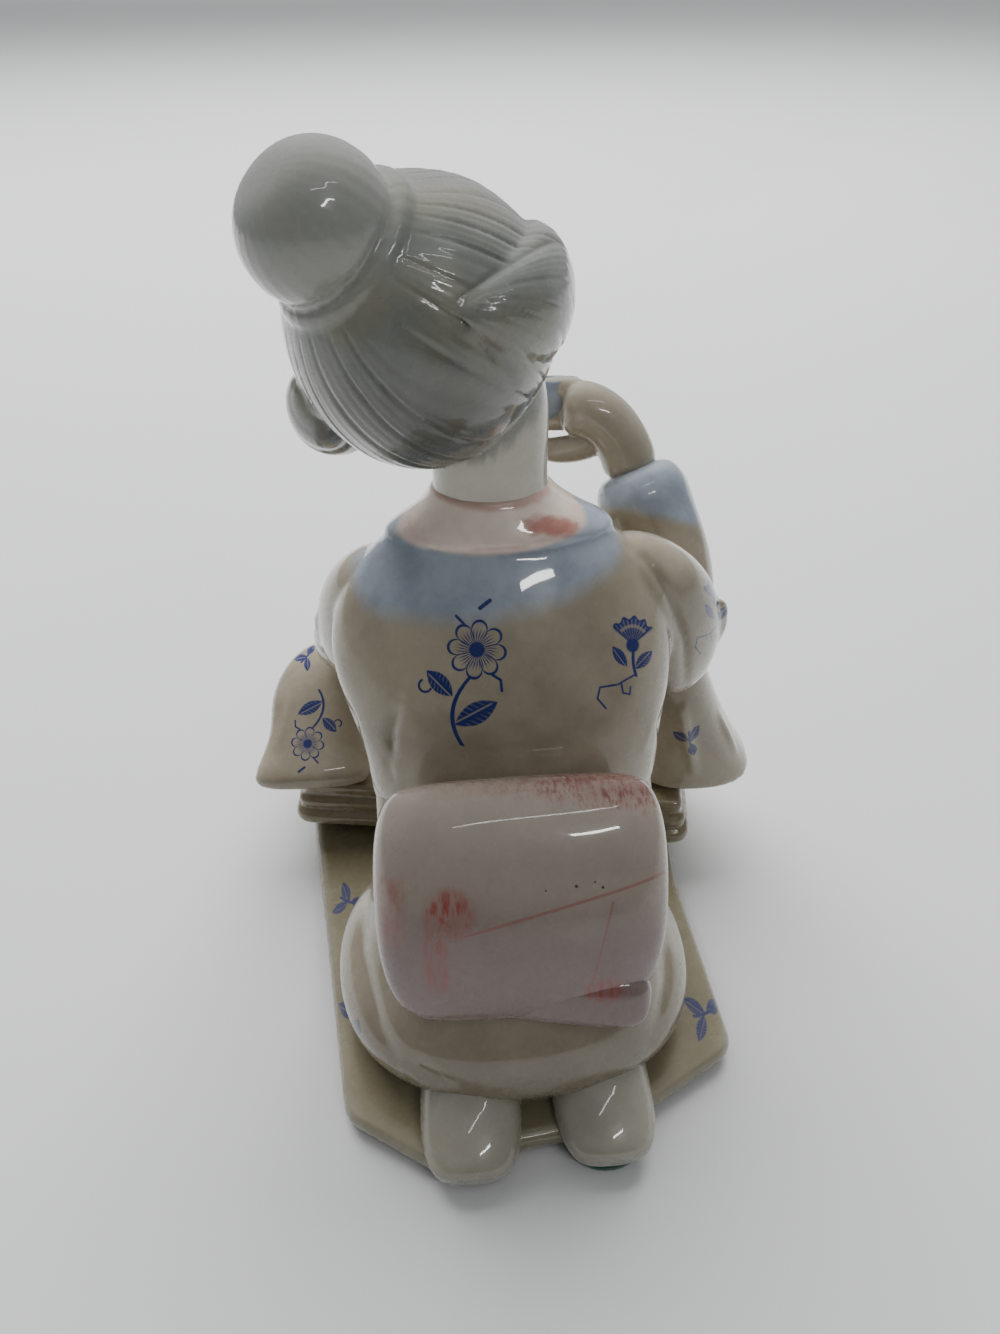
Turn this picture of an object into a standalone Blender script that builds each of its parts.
"""A kneeling porcelain figurine at a low table, modelled as the cast pieces that are luted together.

The figure faces -Y, +X is its left side and +Z is up. The origin is on the ground under the middle of
the footprint. Lengths in the tables below are millimetres, and MM turns them into metres.
Soft forms are coarse cages of rings with Subdivision Surface. Where two castings meet, the one that is
luted on is cut by a slightly grown copy of the one that carries it, which leaves the slip joint's gap.
"""

import math

import bmesh
import bpy
from mathutils import Euler, Matrix, Vector

MM = 0.001

# Driving dimensions.
WALL = 3.0  # thickness of the slip-cast walls
JOINT_GAP = 0.3  # the slip joint between two castings
FELT_THICKNESS = 1.0
HEM_BOTTOM = FELT_THICKNESS + JOINT_GAP
HEM_THICKNESS = 4.7
HEM_TOP = HEM_BOTTOM + HEM_THICKNESS
VENT_RADIUS = 5.0  # the hole under the figure that lets the kiln air out
WAIST_HEIGHT = 53.0
TABLE_TOP = 22.0
TABLE_LENGTH = 98.6
TABLE_DEPTH = 40.0
TABLE_TURN = math.radians(-9.5)  # the table stands a little askew to the figure
TABLE_CENTRE = (0.0, -26.0)
TABLE_CORNER_RADIUS = 4.6
PLINTH_INSET = 6.0
HEAD_CENTRE = Vector((12.0, -2.0, 139.0))
HEAD_TURN = Euler((math.radians(12), math.radians(34), math.radians(12)), "YXZ")
HAIR_CENTRE = Vector((13.6, -1.0, 142.6))
BUN_CENTRE = Vector((29.2, 7.8, 159.4))
BUN_AXIS = Vector((0.635, 0.345, 0.690))
FOOTPRINT_CENTRE = Vector((-1.40, 11.14, 0.0))  # put at the origin, so the footprint is centred on it

RING_SIDES = 10
GLAZE_ROUGHNESS = 0.12

GLAZES = {
    "beige_glaze": (0.42, 0.39, 0.32),
    "hem_glaze": (0.33, 0.30, 0.22),
    "blue_glaze": (0.30, 0.35, 0.44),
    "pink_glaze": (0.62, 0.50, 0.47),
    "white_glaze": (0.62, 0.61, 0.54),
    "hair_glaze": (0.28, 0.29, 0.27),
    "table_glaze": (0.17, 0.14, 0.09),
    "green_felt": (0.02, 0.10, 0.05),
}


def clear_scene():
    """Removes what the file opened with."""
    for thing in list(bpy.data.objects):
        bpy.data.objects.remove(thing)


def new_collection(name):
    collection = bpy.data.collections.new(name)
    bpy.context.scene.collection.children.link(collection)
    return collection


def make_glazes():
    """One Principled material for each glaze, and one for the felt."""
    made = {}
    for name, colour in GLAZES.items():
        material = bpy.data.materials.new(name)
        material.use_nodes = True
        shader = material.node_tree.nodes["Principled BSDF"]
        shader.inputs["Base Color"].default_value = (*colour, 1.0)
        shader.inputs["Roughness"].default_value = 0.95 if name == "green_felt" else GLAZE_ROUGHNESS
        shader.inputs["Metallic"].default_value = 0.0
        made[name] = material
    return made


def level_ring(x, y, z, half_x, half_y, tilt=0.0, squareness=2.0):
    """A ring that lies flat, or is tipped about X by tilt degrees: its centre, frame and radii."""
    frame = Euler((math.radians(tilt), 0, 0)).to_matrix()
    return Vector((x, y, z)), frame, half_x, half_y, squareness


def path_rings(stations, squareness=2.0):
    """Rings square to a path. A station is x, y, z, the half width across and the half height."""
    centres = [Vector(station[:3]) for station in stations]
    rings = []
    for i, station in enumerate(stations):
        ahead = centres[min(i + 1, len(centres) - 1)]
        behind = centres[max(i - 1, 0)]
        along = (ahead - behind).normalized()
        side = along.cross(Vector((0, 0, 1)))
        if side.length < 0.2:
            side = Vector((1, 0, 0))
        side.normalize()
        over = along.cross(side)
        frame = Matrix((side, over, along)).transposed()
        rings.append((centres[i], frame, station[3], station[4], squareness))
    return rings


def ring_points(ring, sides):
    """The cage points of one ring, set out so that the subdivided ring has the stated radii."""
    centre, frame, half_a, half_b, squareness = ring
    spread = 4.0 / (3.0 + math.cos(2 * math.pi / sides))
    for i in range(sides):
        angle = 2 * math.pi * (i + 0.5) / sides
        across = math.copysign(abs(math.cos(angle)) ** (2 / squareness), math.cos(angle))
        upward = math.copysign(abs(math.sin(angle)) ** (2 / squareness), math.sin(angle))
        offset = Vector((across * half_a, upward * half_b, 0)) * spread
        yield (centre + frame @ offset) * MM


def ring_cage(rings, sides, caps, flat):
    """A mesh that runs through the rings. Caps close its ends, and flat caps keep a crisp rim."""
    bm = bmesh.new()
    crease = bm.edges.layers.float.new("crease_edge")
    loops = [[bm.verts.new(point) for point in ring_points(ring, sides)] for ring in rings]
    for below, above in zip(loops, loops[1:]):
        for i in range(sides):
            j = (i + 1) % sides
            bm.faces.new((below[i], below[j], above[j], above[i]))
    if caps:
        ends = (bm.faces.new(reversed(loops[0])), bm.faces.new(loops[-1]))
        for end, is_flat in zip(ends, flat):
            for edge in end.edges:
                edge[crease] = 1.0 if is_flat else 0.0
        bmesh.ops.recalc_face_normals(bm, faces=bm.faces)
    mesh = bpy.data.meshes.new("cage")
    bm.to_mesh(mesh)
    bm.free()
    return mesh


def hide_as_cutter(shop, thing):
    """Keeps a helper form among the cutters, out of renders."""
    for collection in list(thing.users_collection):
        collection.objects.unlink(thing)
    shop.cutters.objects.link(thing)
    thing.hide_render = True
    thing.display_type = "WIRE"


class Workshop:
    """Holds the collections, the glazes and the origin, and makes the castings."""

    def __init__(self):
        self.figurine = new_collection("porcelain_figurine")
        self.cutters = new_collection("cutters")
        self.glazes = make_glazes()
        self.origin = bpy.data.objects.new("figurine_origin", None)
        self.origin.location = -FOOTPRINT_CENTRE * MM
        self.figurine.objects.link(self.origin)
        self.grown = {}

    def add(self, name, mesh, glaze):
        """A new object under the figurine's origin, shaded smooth."""
        made = bpy.data.objects.new(name, mesh)
        self.figurine.objects.link(made)
        made.parent = self.origin
        if glaze:
            mesh.materials.append(self.glazes[glaze])
        mesh.shade_smooth()
        return made

    def subdivide(self, thing, levels):
        """Gives a cage its Subdivision Surface."""
        modifier = thing.modifiers.new("rounding", "SUBSURF")
        modifier.levels = levels
        modifier.render_levels = levels

    def keep_cutter(self, name, mesh, levels, gap=JOINT_GAP):
        """A copy of a form, grown by the joint gap, that other castings can be cut with."""
        cutter = self.add(name + "_cutter", mesh, None)
        hide_as_cutter(self, cutter)
        if levels:
            self.subdivide(cutter, levels)
        grow = cutter.modifiers.new("grow", "DISPLACE")
        grow.strength = gap * MM
        grow.mid_level = 0.0
        self.grown[name] = cutter
        return cutter

    def form(self, name, glaze, rings, levels=1, sides=RING_SIDES, flat=(False, False)):
        """A solid soft form through the rings."""
        made = self.add(name, ring_cage(rings, sides, True, flat), glaze)
        self.subdivide(made, levels)
        self.keep_cutter(name, ring_cage(rings, sides, True, flat), levels)
        return made

    def shell(self, name, glaze, rings, levels=1, sides=RING_SIDES):
        """A hollow casting, open at both ends, with its wall inside the rings."""
        made = self.add(name, ring_cage(rings, sides, False, (False, False)), glaze)
        self.subdivide(made, levels)
        wall = made.modifiers.new("wall", "SOLIDIFY")
        wall.thickness = WALL * MM
        wall.offset = -1.0
        self.keep_cutter(name, ring_cage(rings, sides, True, (True, True)), levels)
        return made

    def cut(self, thing, *names):
        """Cuts a casting with the grown forms of its neighbours."""
        for name in names:
            cut = thing.modifiers.new("fit_to_" + name, "BOOLEAN")
            cut.operation = "DIFFERENCE"
            cut.object = self.grown[name]

    def block(self, name, size, place):
        """A cutting box of the given size about a place, from the cube primitive."""
        mesh = bpy.data.meshes.new(name)
        bm = bmesh.new()
        bmesh.ops.create_cube(bm, size=1.0, matrix=Matrix.Diagonal((*(Vector(size) * MM), 1.0)))
        bm.to_mesh(mesh)
        bm.free()
        made = self.add(name, mesh, None)
        made.location = Vector(place) * MM
        hide_as_cutter(self, made)
        return made

    def disc(self, name, radius, thickness, place, glaze=None, sides=24):
        """An upright disc, from the cone primitive."""
        mesh = bpy.data.meshes.new(name)
        bm = bmesh.new()
        bmesh.ops.create_cone(bm, cap_ends=True, segments=sides, radius1=radius * MM,
                              radius2=radius * MM, depth=thickness * MM)
        bm.to_mesh(mesh)
        bm.free()
        made = self.add(name, mesh, glaze)
        mesh.set_sharp_from_angle(angle=math.radians(40))
        made.location = Vector(place) * MM
        return made


def make_floor_cutter(shop):
    """A block under the castings, so that the feet end in the hem's own plane."""
    shop.grown["floor"] = shop.block("floor_cutter", (200, 240, 40), (0, 0, HEM_BOTTOM - 20))


def rounded_outline(corners, arc_steps=3):
    """Corner points x, y, radius turned into an outline whose corners are arcs."""
    outline = []
    count = len(corners)
    for i, (x, y, radius) in enumerate(corners):
        corner = Vector((x, y))
        back = Vector(corners[i - 1][:2]) - corner
        ahead = Vector(corners[(i + 1) % count][:2]) - corner
        half = back.angle(ahead) / 2
        reach = min(radius / math.tan(half), 0.45 * back.length, 0.45 * ahead.length)
        start, end = corner + back.normalized() * reach, corner + ahead.normalized() * reach
        for step in range(arc_steps + 1):
            t = step / arc_steps
            outline.append(start * (1 - t) ** 2 + corner * 2 * t * (1 - t) + end * t ** 2)
    return outline


def moulded_slab(corners, steps):
    """A closed mesh that lofts one rounded outline up through the steps. A step is a height and an
    amount by which the outline is let out there."""
    outline = rounded_outline(corners)
    count = len(outline)
    outward = []
    for i in range(count):
        along = (outline[(i + 1) % count] - outline[i - 1]).normalized()
        outward.append(Vector((-along.y, along.x)))
    bm = bmesh.new()
    loops = []
    for height, grow in steps:
        points = [point + out * grow for point, out in zip(outline, outward)]
        loops.append([bm.verts.new(Vector((point.x, point.y, height)) * MM) for point in points])
    for below, above in zip(loops, loops[1:]):
        for i in range(count):
            j = (i + 1) % count
            bm.faces.new((below[i], below[j], above[j], above[i]))
    bm.faces.new(reversed(loops[0]))
    bm.faces.new(loops[-1])
    bmesh.ops.recalc_face_normals(bm, faces=bm.faces)
    mesh = bpy.data.meshes.new("slab")
    bm.to_mesh(mesh)
    bm.free()
    return mesh


def make_hem(shop):
    """The spread hem that the figure kneels on, a rounded slab with the vent hole."""
    corners = (
        (-43, -57, 9), (-44, -22, 40), (-41.5, 11, 80), (-43.5, 54, 6), (-24, 65, 9), (-12, 69.5, 5),
        (2.4, 66, 5), (19, 75, 5), (38, 62, 7), (43.0, 20, 90), (48.0, -20, 40), (46, -57, 9),
    )
    steps = (
        (HEM_BOTTOM, -1.0), (HEM_BOTTOM + 1.0, 0), (HEM_TOP - 1.6, 0), (HEM_TOP - 0.5, -0.6),
        (HEM_TOP, -1.8),
    )
    mesh = moulded_slab(corners, steps)
    hem = shop.add("kimono_hem_base", mesh, "hem_glaze")
    mesh.set_sharp_from_angle(angle=math.radians(50))
    vent = shop.disc("vent_cutter", VENT_RADIUS, 30, (0, 24, HEM_TOP))
    hide_as_cutter(shop, vent)
    shop.grown["vent"] = vent
    shop.cut(hem, "vent", "left_foot", "right_foot")


def make_feet(shop):
    """The two feet behind the hips, toes back and a little splayed, flat under the soles."""
    for side, turn, x, tip in (("left", 1, 12.0, 78.4), ("right", -1, -12.6, 77.4)):
        foot = shop.form(
            side + "_foot", "white_glaze",
            path_rings((
                (x, tip - 34, 10.5, 9.6, 8.6),
                (x, tip - 24, 10.4, 10.2, 9.4),
                (x + turn * 0.4, tip - 14, 8.6, 11.2, 9.4),
                (x + turn * 1.0, tip - 6, 6.4, 11.0, 8.2),
                (x + turn * 1.2, tip - 1, 4.6, 8.2, 5.6),
                (x + turn * 1.2, tip, 4.2, 4.4, 3.0),
            ), squareness=2.1),
        )
        shop.cut(foot, "floor", "kimono_skirt")


def make_skirt(shop):
    """The hips and thighs under the kimono, a hollow casting that stands on the hem."""
    rings = (
        level_ring(0.6, 28, HEM_TOP + JOINT_GAP, 33.0, 30.5, squareness=2.1),
        level_ring(1.0, 31, 10, 37.4, 34.0, squareness=2.1),
        level_ring(1.6, 34.5, 17, 37.6, 33.0, squareness=2.1),
        level_ring(2.2, 35.5, 24, 34.4, 30.2, squareness=2.1),
        level_ring(0.8, 34.5, 30, 30.2, 27.0, squareness=2.1),
        level_ring(0.2, 30.5, 37, 28.8, 23.8, squareness=2.1),
        level_ring(0, 25, 43.5, 28.6, 22.0),
        level_ring(0, 20.8, 49, 28.6, 19.6),
        level_ring(0, 19, WAIST_HEIGHT, 28.6, 17),
    )
    return shop.shell("kimono_skirt", "beige_glaze", rings, sides=12)


def torso_rings():
    """The sections of the leaning back and chest."""
    return (
        level_ring(0, 18.6, WAIST_HEIGHT + JOINT_GAP, 28.6, 16.8),
        level_ring(0, 15.5, 62, 30.0, 17.6, tilt=8),
        level_ring(0.8, 10, 72, 33.4, 18.4, tilt=14),
        level_ring(1.2, 5, 81, 34.2, 18.2, tilt=18),
        level_ring(1.2, 0.5, 89, 32.0, 17.0, tilt=20),
        level_ring(1.0, -3.0, 96.5, 26.0, 14.4, tilt=20),
        level_ring(1.2, -4.4, 102, 18.4, 11.8, tilt=16),
        level_ring(1.6, -4.6, 106.5, 10.8, 9.0, tilt=10),
    )


def make_torso(shop):
    """The back and chest, a hollow casting that leans forward from the waist."""
    return shop.shell("torso", "beige_glaze", torso_rings(), sides=12)


def make_obi(shop):
    """The sash: a band round the waist, the big square knot on the back and its tail below."""
    band = shop.form(
        "obi_band", "pink_glaze",
        (
            level_ring(0, 19.4, 50.5, 31.0, 18.8, tilt=2),
            level_ring(0, 17.6, 56, 31.0, 19.2, tilt=6),
            level_ring(0, 15.4, 62, 31.2, 19.4, tilt=9),
        ),
        sides=12, flat=(True, True),
    )
    shop.cut(band, "torso", "kimono_skirt")
    knot = shop.form(
        "obi_knot", "pink_glaze",
        (
            level_ring(4.5, 60.5, 28.0, 14.0, 2.4, tilt=35, squareness=2.6),
            level_ring(2.6, 58.5, 32.5, 22.0, 5.0, tilt=30, squareness=3.0),
            level_ring(1.8, 52.5, 42.0, 26.4, 9.6, tilt=25, squareness=3.4),
            level_ring(1.6, 46.5, 52.0, 27.0, 11.6, tilt=22, squareness=3.4),
            level_ring(1.4, 40.5, 62.0, 26.4, 11.0, tilt=28, squareness=3.4),
            level_ring(1.2, 36.0, 68.0, 24.0, 7.0, tilt=38, squareness=3.0),
            level_ring(1.2, 35.0, 70.2, 19.0, 3.0, tilt=40, squareness=2.6),
        ),
    )
    tail = shop.form(
        "obi_tail", "pink_glaze",
        path_rings((
            (-5.4, 57.0, 40.6, 13.4, 4.2),
            (-5.8, 60.0, 35.5, 14.4, 4.4),
            (-6.2, 62.0, 32.0, 13.4, 3.4),
            (-6.4, 62.6, 30.8, 9.0, 1.8),
        ), squareness=2.8),
    )
    shop.cut(knot, "kimono_skirt", "torso", "obi_band")
    shop.cut(tail, "kimono_skirt", "obi_knot")


def torso_layer(shop, name, glaze, thickness):
    """A layer of the given thickness over the whole torso, to be trimmed to a collar."""
    layer = shop.add(name, ring_cage(torso_rings(), 12, True, (True, True)), glaze)
    shop.subdivide(layer, 1)
    grow = layer.modifiers.new("thickness", "DISPLACE")
    grow.strength = thickness * MM
    grow.mid_level = 0.0
    return layer


def trim(shop, thing, point, normal):
    """Takes away the side of a casting that the normal points to, with a flat cutter."""
    place = Vector(point) + Vector(normal).normalized() * 60
    block = shop.block(thing.name + "_trim", (160, 160, 120), place)
    block.rotation_euler = Vector(normal).to_track_quat("Z", "Y").to_euler()
    cut = thing.modifiers.new("trim", "BOOLEAN")
    cut.operation = "DIFFERENCE"
    cut.object = block


def make_collar(shop, name, glaze, thickness, edge, slope):
    """A collar that lies on the shoulders above a sloping edge, and its grown copy for the sleeves."""
    collar = torso_layer(shop, name, glaze, thickness)
    shop.cut(collar, "torso")
    trim(shop, collar, edge, -slope)
    cutter = torso_layer(shop, name + "_cutter", None, thickness + JOINT_GAP)
    trim(shop, cutter, edge - slope * JOINT_GAP, -slope)
    hide_as_cutter(shop, cutter)
    shop.grown[name] = cutter
    return collar


def make_collars(shop):
    """The soft inner collar round the neck and the wide outer collar below it."""
    inner_edge = Vector((1.0, 12.0, 102.4))
    inner_slope = Vector((0.06, 0.10, 1.0)).normalized()
    inner = make_collar(shop, "inner_collar", "pink_glaze", 2.3, inner_edge, inner_slope)
    shop.cut(inner, "head_and_neck")
    outer_edge = Vector((0.0, 18.0, 93.2))
    outer_slope = Vector((0.10, 0.16, 1.0)).normalized()
    outer = make_collar(shop, "outer_collar", "blue_glaze", 1.5, outer_edge, outer_slope)
    shop.cut(outer, "inner_collar")


def in_head(x, y, z):
    """A point of the head's own frame, in the figure's frame."""
    return HEAD_CENTRE + HEAD_TURN.to_matrix() @ Vector((x, y, z))


def head_ring(x, y, z, half_x, half_y, squareness=2.0):
    """A ring that lies square to the head's own upright axis."""
    return in_head(x, y, z), HEAD_TURN.to_matrix(), half_x, half_y, squareness


def make_head(shop):
    """The face and neck in one casting: a tapering egg on a tube that stands in the collar."""
    rings = (
        level_ring(1.6, -4.4, 106.5 + JOINT_GAP, 10.2, 9.6, tilt=8),
        level_ring(1.9, -3.8, 112, 9.6, 9.0, tilt=6),
        level_ring(2.8, -3.6, 118, 9.8, 9.4),
        head_ring(0.5, -3.0, -15.0, 12.0, 13.0),
        head_ring(0, -3.0, -8.0, 15.6, 17.4),
        head_ring(0, -2.0, 1.0, 17.4, 18.6),
        head_ring(0, -0.5, 10.0, 15.0, 16.0),
        head_ring(0, 0.5, 15.5, 8.0, 8.5),
    )
    neck_and_head = shop.form("head_and_neck", "white_glaze", rings, flat=(True, False))
    chin = shop.form(
        "chin_form", None,
        (
            head_ring(0, -13.5, -21.0, 3.6, 3.2),
            head_ring(0, -12.6, -18.5, 7.6, 6.6),
            head_ring(0, -10.5, -11.0, 12.2, 9.6),
            head_ring(0, -9.0, -3.0, 13.0, 10.0),
        ), sides=8,
    )
    hide_as_cutter(shop, chin)
    join = neck_and_head.modifiers.new("chin", "BOOLEAN")
    join.operation = "UNION"
    join.object = chin
    hollow = shop.form(
        "head_hollow", None,
        (
            level_ring(1.6, -4.4, 100, 6.4, 6.0, tilt=8),
            level_ring(2.6, -3.8, 116, 6.0, 5.8),
            head_ring(0, -1.5, -6.0, 11.0, 12.0),
            head_ring(0, -1.0, 4.0, 11.5, 12.5),
            head_ring(0, 0, 10.0, 6.0, 6.5),
        ), sides=8,
    )
    hide_as_cutter(shop, hollow)
    empty = neck_and_head.modifiers.new("hollow", "BOOLEAN")
    empty.operation = "DIFFERENCE"
    empty.object = hollow


def swept_form(shop, name, stations):
    """A lock of hair along stations given in the figure's frame."""
    return shop.form(name, "hair_glaze", path_rings(stations), sides=8)


def make_hair(shop):
    """The combed hair, the rolls at its sides and brow, the top knot and the roll round its foot."""
    cap = shop.form(
        "hair_cap", "hair_glaze",
        [
            level_ring(x, y, HAIR_CENTRE.z + z, half_x, half_y)
            for x, y, z, half_x, half_y in (
                (12.5, -1.0, -24.4, 9.0, 10.0), (12.5, -1.0, -20.5, 16.5, 16.5),
                (13.2, -1.0, -12.0, 22.6, 22.6), (13.8, -1.0, 0.0, 24.6, 25.0),
                (14.8, -1.0, 11.0, 21.4, 22.0), (15.2, -1.0, 18.4, 14.6, 15.6),
                (15.4, -1.0, 22.0, 7.6, 8.6),
            )
        ], sides=12,
    )
    face_gap = shop.form(
        "face_opening", None,
        (
            head_ring(0, -19.0, -30.0, 15.0, 13.0, 2.4),
            head_ring(0, -20.0, -8.0, 15.4, 13.0, 2.4),
            head_ring(0, -22.0, 6.5, 11.6, 10.5, 2.2),
        ), sides=8, flat=(True, False),
    )
    hide_as_cutter(shop, face_gap)
    opening = cap.modifiers.new("face_opening", "BOOLEAN")
    opening.operation = "DIFFERENCE"
    opening.object = face_gap
    shop.cut(cap, "head_and_neck")
    along = BUN_AXIS.normalized()
    bun_steps = ((-10, 9.5), (-6, 12.2), (0, 13.0), (6.4, 11.6), (10.8, 7.6), (12.6, 3.6))
    bun = shop.form(
        "hair_bun", "hair_glaze",
        path_rings([(*(BUN_CENTRE + along * step), r, r) for step, r in bun_steps]),
    )
    roll_steps = ((-10.5, 8.0), (-8.0, 12.6), (-5.4, 14.4), (-3.4, 13.6), (-2.4, 11.0))
    roll = shop.form(
        "bun_roll", "hair_glaze",
        path_rings([(*(BUN_CENTRE + along * step), r, r) for step, r in roll_steps]), sides=12,
    )
    shop.cut(roll, "hair_cap")
    shop.cut(bun, "bun_roll", "hair_cap")
    right = swept_form(shop, "right_hair_wing", (
        (10, 19, 151, 2.4, 2.4), (3, 15.5, 150.5, 5.4, 7.0), (-3.4, 9, 149.5, 6.4, 10.4),
        (-4.6, 0, 148.5, 6.4, 11.6), (-4.0, -9, 147, 6.0, 10.4), (-2.5, -17, 145, 4.2, 7.0),
        (-1.0, -21, 143.5, 2.0, 3.0),
    ))
    left = swept_form(shop, "left_hair_wing", (
        (33, 4, 134, 3.0, 3.0), (34, -2, 128.5, 5.6, 6.0), (32.5, -8, 121.5, 6.6, 7.0),
        (29, -14, 117.5, 5.6, 6.0), (25, -18, 116, 2.6, 3.0),
    ))
    arch = ((-18, -8, 6), (-12.5, -16, 12), (0, -18.5, 14.5), (12.5, -16, 12), (18, -8, 6))
    brow = swept_form(shop, "brow_roll", [(*in_head(*place), 6.0, 6.6) for place in arch])
    shop.cut(right, "hair_cap", "head_and_neck", "bun_roll")
    shop.cut(left, "hair_cap", "head_and_neck")
    shop.cut(brow, "hair_cap", "head_and_neck", "left_hair_wing", "right_hair_wing", "bun_roll", "hair_bun")


def table_corners(inset):
    """The corners of the turned table, brought in by the inset."""
    turn = Matrix.Rotation(TABLE_TURN, 2)
    half_x, half_y = TABLE_LENGTH / 2 - inset, TABLE_DEPTH / 2 - inset
    corners = []
    for sign_x, sign_y in ((-1, -1), (-1, 1), (1, 1), (1, -1)):
        place = turn @ Vector((sign_x * half_x, sign_y * half_y)) + Vector(TABLE_CENTRE)
        corners.append((place.x, place.y, TABLE_CORNER_RADIUS))
    return corners


def make_table(shop):
    """The low table: a moulded top on a recessed plinth, turned a little askew."""
    corners = table_corners(0.0)
    steps = ((9.6, -1.0), (10.4, 0), (13.4, 0), (14.2, -1.6), (17.2, -1.0), (18.2, -2.6),
             (21.2, -2.4), (TABLE_TOP, -3.2))
    mesh = moulded_slab(corners, steps)
    top = shop.add("table_top", mesh, "table_glaze")
    mesh.set_sharp_from_angle(angle=math.radians(50))
    shop.keep_cutter("table_top", moulded_slab(corners, steps), 0)
    plinth_steps = ((HEM_TOP + JOINT_GAP, 0), (steps[0][0] - JOINT_GAP, 0.8))
    plinth_mesh = moulded_slab(table_corners(PLINTH_INSET), plinth_steps)
    plinth = shop.add("table_plinth", plinth_mesh, "table_glaze")
    plinth_mesh.set_sharp_from_angle(angle=math.radians(50))
    shop.cut(top, "kimono_skirt")
    shop.cut(plinth, "kimono_skirt")


def make_left_arm(shop):
    """The left arm reaches down to the table, where its long sleeve spreads over the end."""
    upper = shop.form(
        "left_upper_sleeve", "beige_glaze",
        path_rings((
            (19, 0, 93, 8.0, 7.0),
            (25, -3, 88, 10.6, 10.0),
            (28.5, -8, 78, 9.8, 11.5),
            (30, -13, 68, 9.0, 11.0),
            (30, -17, 61, 6.0, 7.5),
        )),
    )
    forearm = shop.form(
        "left_forearm_sleeve", "beige_glaze",
        path_rings((
            (31, -17, 66, 7.5, 7.5),
            (33, -24, 61, 9.8, 10.0),
            (33, -34, 53, 9.6, 9.8),
            (29, -42, 46, 8.6, 8.4),
        )),
    )
    cuff = shop.form(
        "left_cuff", "blue_glaze",
        path_rings((
            (29.6, -41, 46.6, 9.0, 8.8),
            (27, -45, 43, 8.6, 8.2),
            (25, -47.6, 40.6, 6.6, 6.2),
        )),
    )
    hand = shop.form(
        "left_hand", "white_glaze",
        path_rings((
            (26, -46.5, 41.5, 4.6, 4.2),
            (22, -49.5, 36, 5.2, 4.2),
            (17, -50, 30, 6.2, 3.8),
            (11, -48, 26.4, 6.0, 2.9),
            (5, -45, 24.9, 4.2, 2.0),
        )),
    )
    drape = shop.form(
        "left_hanging_sleeve", "beige_glaze",
        (
            turned_ring(45.5, -12.6, 24.2, 12.0, 2.4, 2.6),
            turned_ring(45.8, -16.5, 25.2, 15.2, 3.4, 2.8),
            turned_ring(44.0, -26.0, 28.6, 14.6, 6.0, 2.6),
            turned_ring(43.0, -36.0, 31.8, 15.0, 9.4, 2.6),
            turned_ring(40.5, -46.0, 33.6, 11.6, 10.4, 2.6),
            turned_ring(38.5, -52.0, 31.6, 7.5, 7.5, 2.4),
        ),
    )
    shop.cut(upper, "torso", "outer_collar")
    shop.cut(forearm, "left_upper_sleeve", "torso")
    shop.cut(cuff, "left_forearm_sleeve")
    shop.cut(hand, "left_cuff", "left_forearm_sleeve", "table_top")
    shop.cut(drape, "table_top", "left_forearm_sleeve", "left_cuff", "left_hand", "kimono_skirt")


def turned_ring(x, y, z, half_x, half_z, squareness):
    """An upright ring that faces along Y, so its radii are a width and a height."""
    return Vector((x, y, z)), Euler((math.radians(90), 0, 0)).to_matrix(), half_x, half_z, squareness


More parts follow.
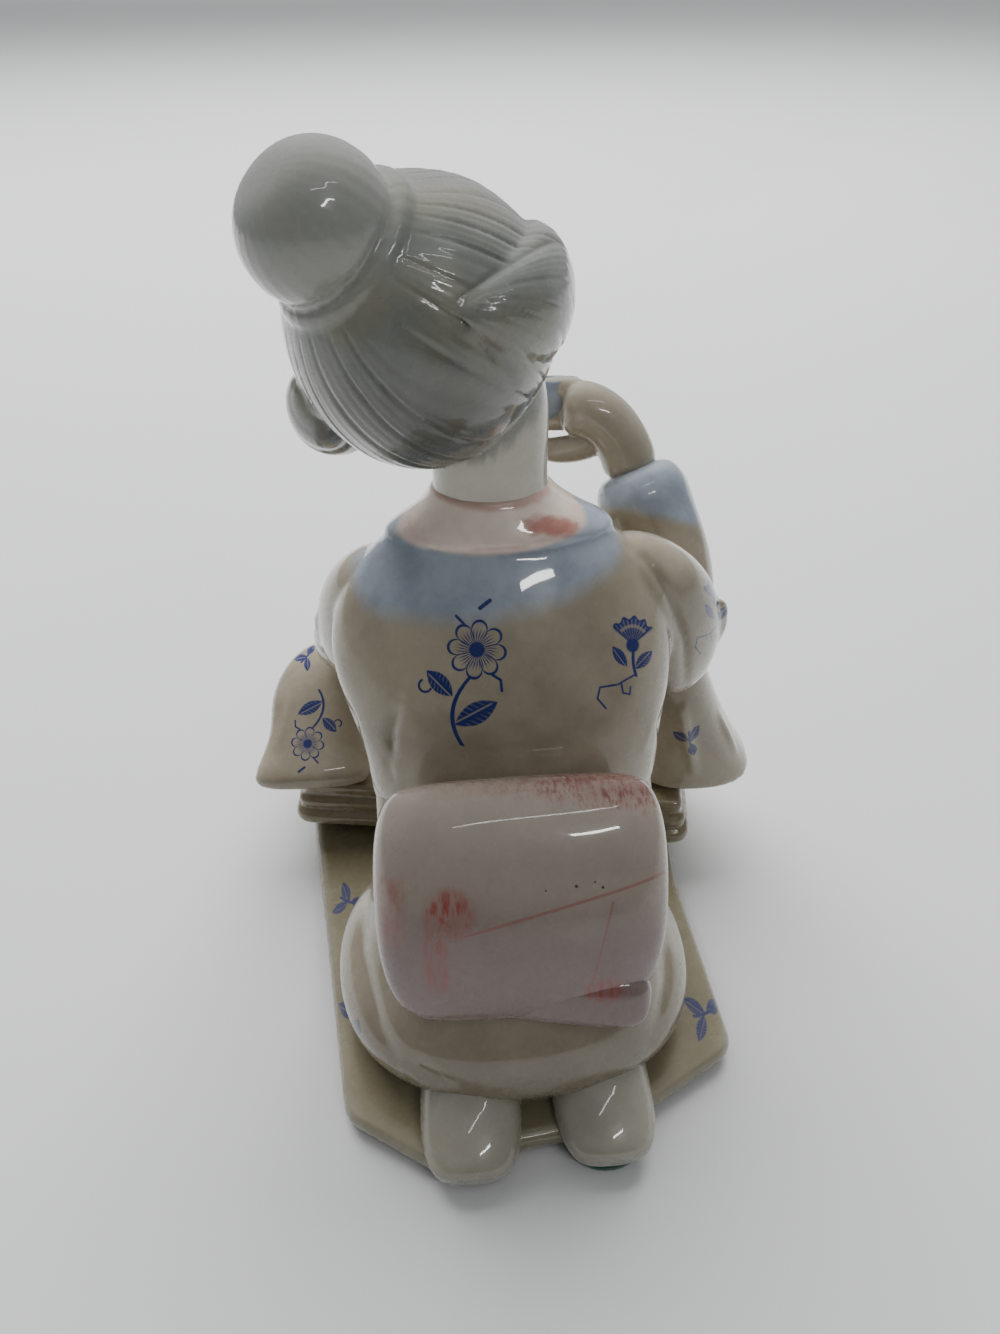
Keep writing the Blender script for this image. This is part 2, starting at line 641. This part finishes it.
def make_right_arm(shop):
    """The right arm is raised, with the cup held up beside the face."""
    upper = shop.form(
        "right_upper_sleeve", "beige_glaze",
        path_rings((
            (-18, 0, 93, 8.0, 7.0),
            (-25.5, -1, 88.5, 10.6, 10.6),
            (-33.5, -3.5, 79, 11.0, 12.6),
            (-37.5, -7, 67, 10.4, 12.6),
            (-38.5, -10, 57, 7.4, 9.5),
        )),
    )
    forearm = shop.form(
        "right_forearm_sleeve", "beige_glaze",
        path_rings((
            (-37.5, -12, 63, 7.0, 7.0),
            (-40.4, -18, 69, 10.0, 10.2),
            (-38.5, -24.5, 78, 10.8, 10.4),
            (-35, -29.6, 86, 9.6, 9.0),
        )),
    )
    cuff = shop.form(
        "right_cuff", "blue_glaze",
        path_rings((
            (-36, -28.6, 84.5, 9.6, 9.0),
            (-34.2, -30.6, 88.5, 11.4, 10.6),
            (-32.0, -33.4, 94.0, 9.4, 8.8),
            (-31.0, -34.8, 96.4, 6.8, 6.6),
        )),
    )
    hand = shop.form(
        "right_hand", "beige_glaze",
        path_rings((
            (-31.5, -34.4, 94.5, 5.4, 5.4),
            (-29.4, -36.8, 100.5, 5.8, 5.8),
            (-25.0, -39.4, 105.2, 6.6, 6.6),
            (-18.5, -41.4, 106.4, 6.8, 7.2),
            (-12.5, -42.6, 105.4, 5.4, 6.2),
            (-8.5, -43.2, 104.0, 2.6, 3.4),
        )),
    )
    thumb = shop.form(
        "right_thumb", "beige_glaze",
        path_rings((
            (-23, -38.5, 99.5, 3.2, 3.2),
            (-18.5, -39.5, 97.4, 3.4, 3.4),
            (-14, -41.0, 96.6, 3.2, 3.2),
            (-10, -42.5, 97.2, 2.2, 2.2),
        )), sides=8,
    )
    cup = shop.form(
        "tea_cup", "blue_glaze",
        (
            level_ring(-13.5, -44.5, 101.8, 3.6, 3.6, tilt=18),
            level_ring(-13.5, -44.5, 103.0, 5.4, 5.4, tilt=18),
            level_ring(-13.5, -43.6, 106.0, 7.2, 7.2, tilt=18),
            level_ring(-13.5, -42.6, 110.0, 7.8, 7.8, tilt=18),
            level_ring(-13.5, -42.3, 111.4, 7.4, 7.4, tilt=18),
            level_ring(-13.5, -42.6, 110.4, 5.4, 5.4, tilt=18),
        ), flat=(True, False),
    )
    drape = shop.form(
        "right_hanging_sleeve", "beige_glaze",
        (
            level_ring(-38.0, -17.0, 66.0, 6.0, 6.0),
            level_ring(-39.8, -17.5, 58.0, 7.8, 8.8),
            level_ring(-42.4, -18.0, 46.0, 9.6, 11.6),
            level_ring(-45.0, -18.0, 35.0, 11.8, 13.6),
            level_ring(-47.2, -17.4, 27.0, 14.4, 14.4, squareness=2.6),
            level_ring(-47.8, -17.2, 23.6, 15.0, 14.2, squareness=2.8),
        ), flat=(False, True),
    )
    shop.cut(upper, "torso", "outer_collar")
    shop.cut(forearm, "right_upper_sleeve", "torso")
    shop.cut(cuff, "right_forearm_sleeve", "right_upper_sleeve")
    shop.cut(hand, "right_cuff", "tea_cup", "right_forearm_sleeve")
    shop.cut(thumb, "right_hand", "tea_cup", "right_cuff")
    shop.cut(cup, "head_and_neck")
    shop.cut(drape, "table_top", "right_forearm_sleeve", "right_upper_sleeve", "kimono_skirt", "torso")


def make_felt_pads(shop):
    """Four felt discs under the hem keep the unglazed foot off the shelf."""
    places = ((-13.5, 66.5, 9.0), (14.5, 61.0, 9.0), (32.0, -44.0, 9.0), (-32.0, -44.0, 9.0))
    for i, (x, y, radius) in enumerate(places):
        shop.disc(f"felt_pad_{i + 1}", radius, FELT_THICKNESS, (x, y, FELT_THICKNESS / 2), "green_felt")


def main():
    clear_scene()
    shop = Workshop()
    make_floor_cutter(shop)
    make_skirt(shop)
    make_feet(shop)
    make_hem(shop)
    make_torso(shop)
    make_head(shop)
    make_obi(shop)
    make_collars(shop)
    make_hair(shop)
    make_table(shop)
    make_left_arm(shop)
    make_right_arm(shop)
    make_felt_pads(shop)


main()
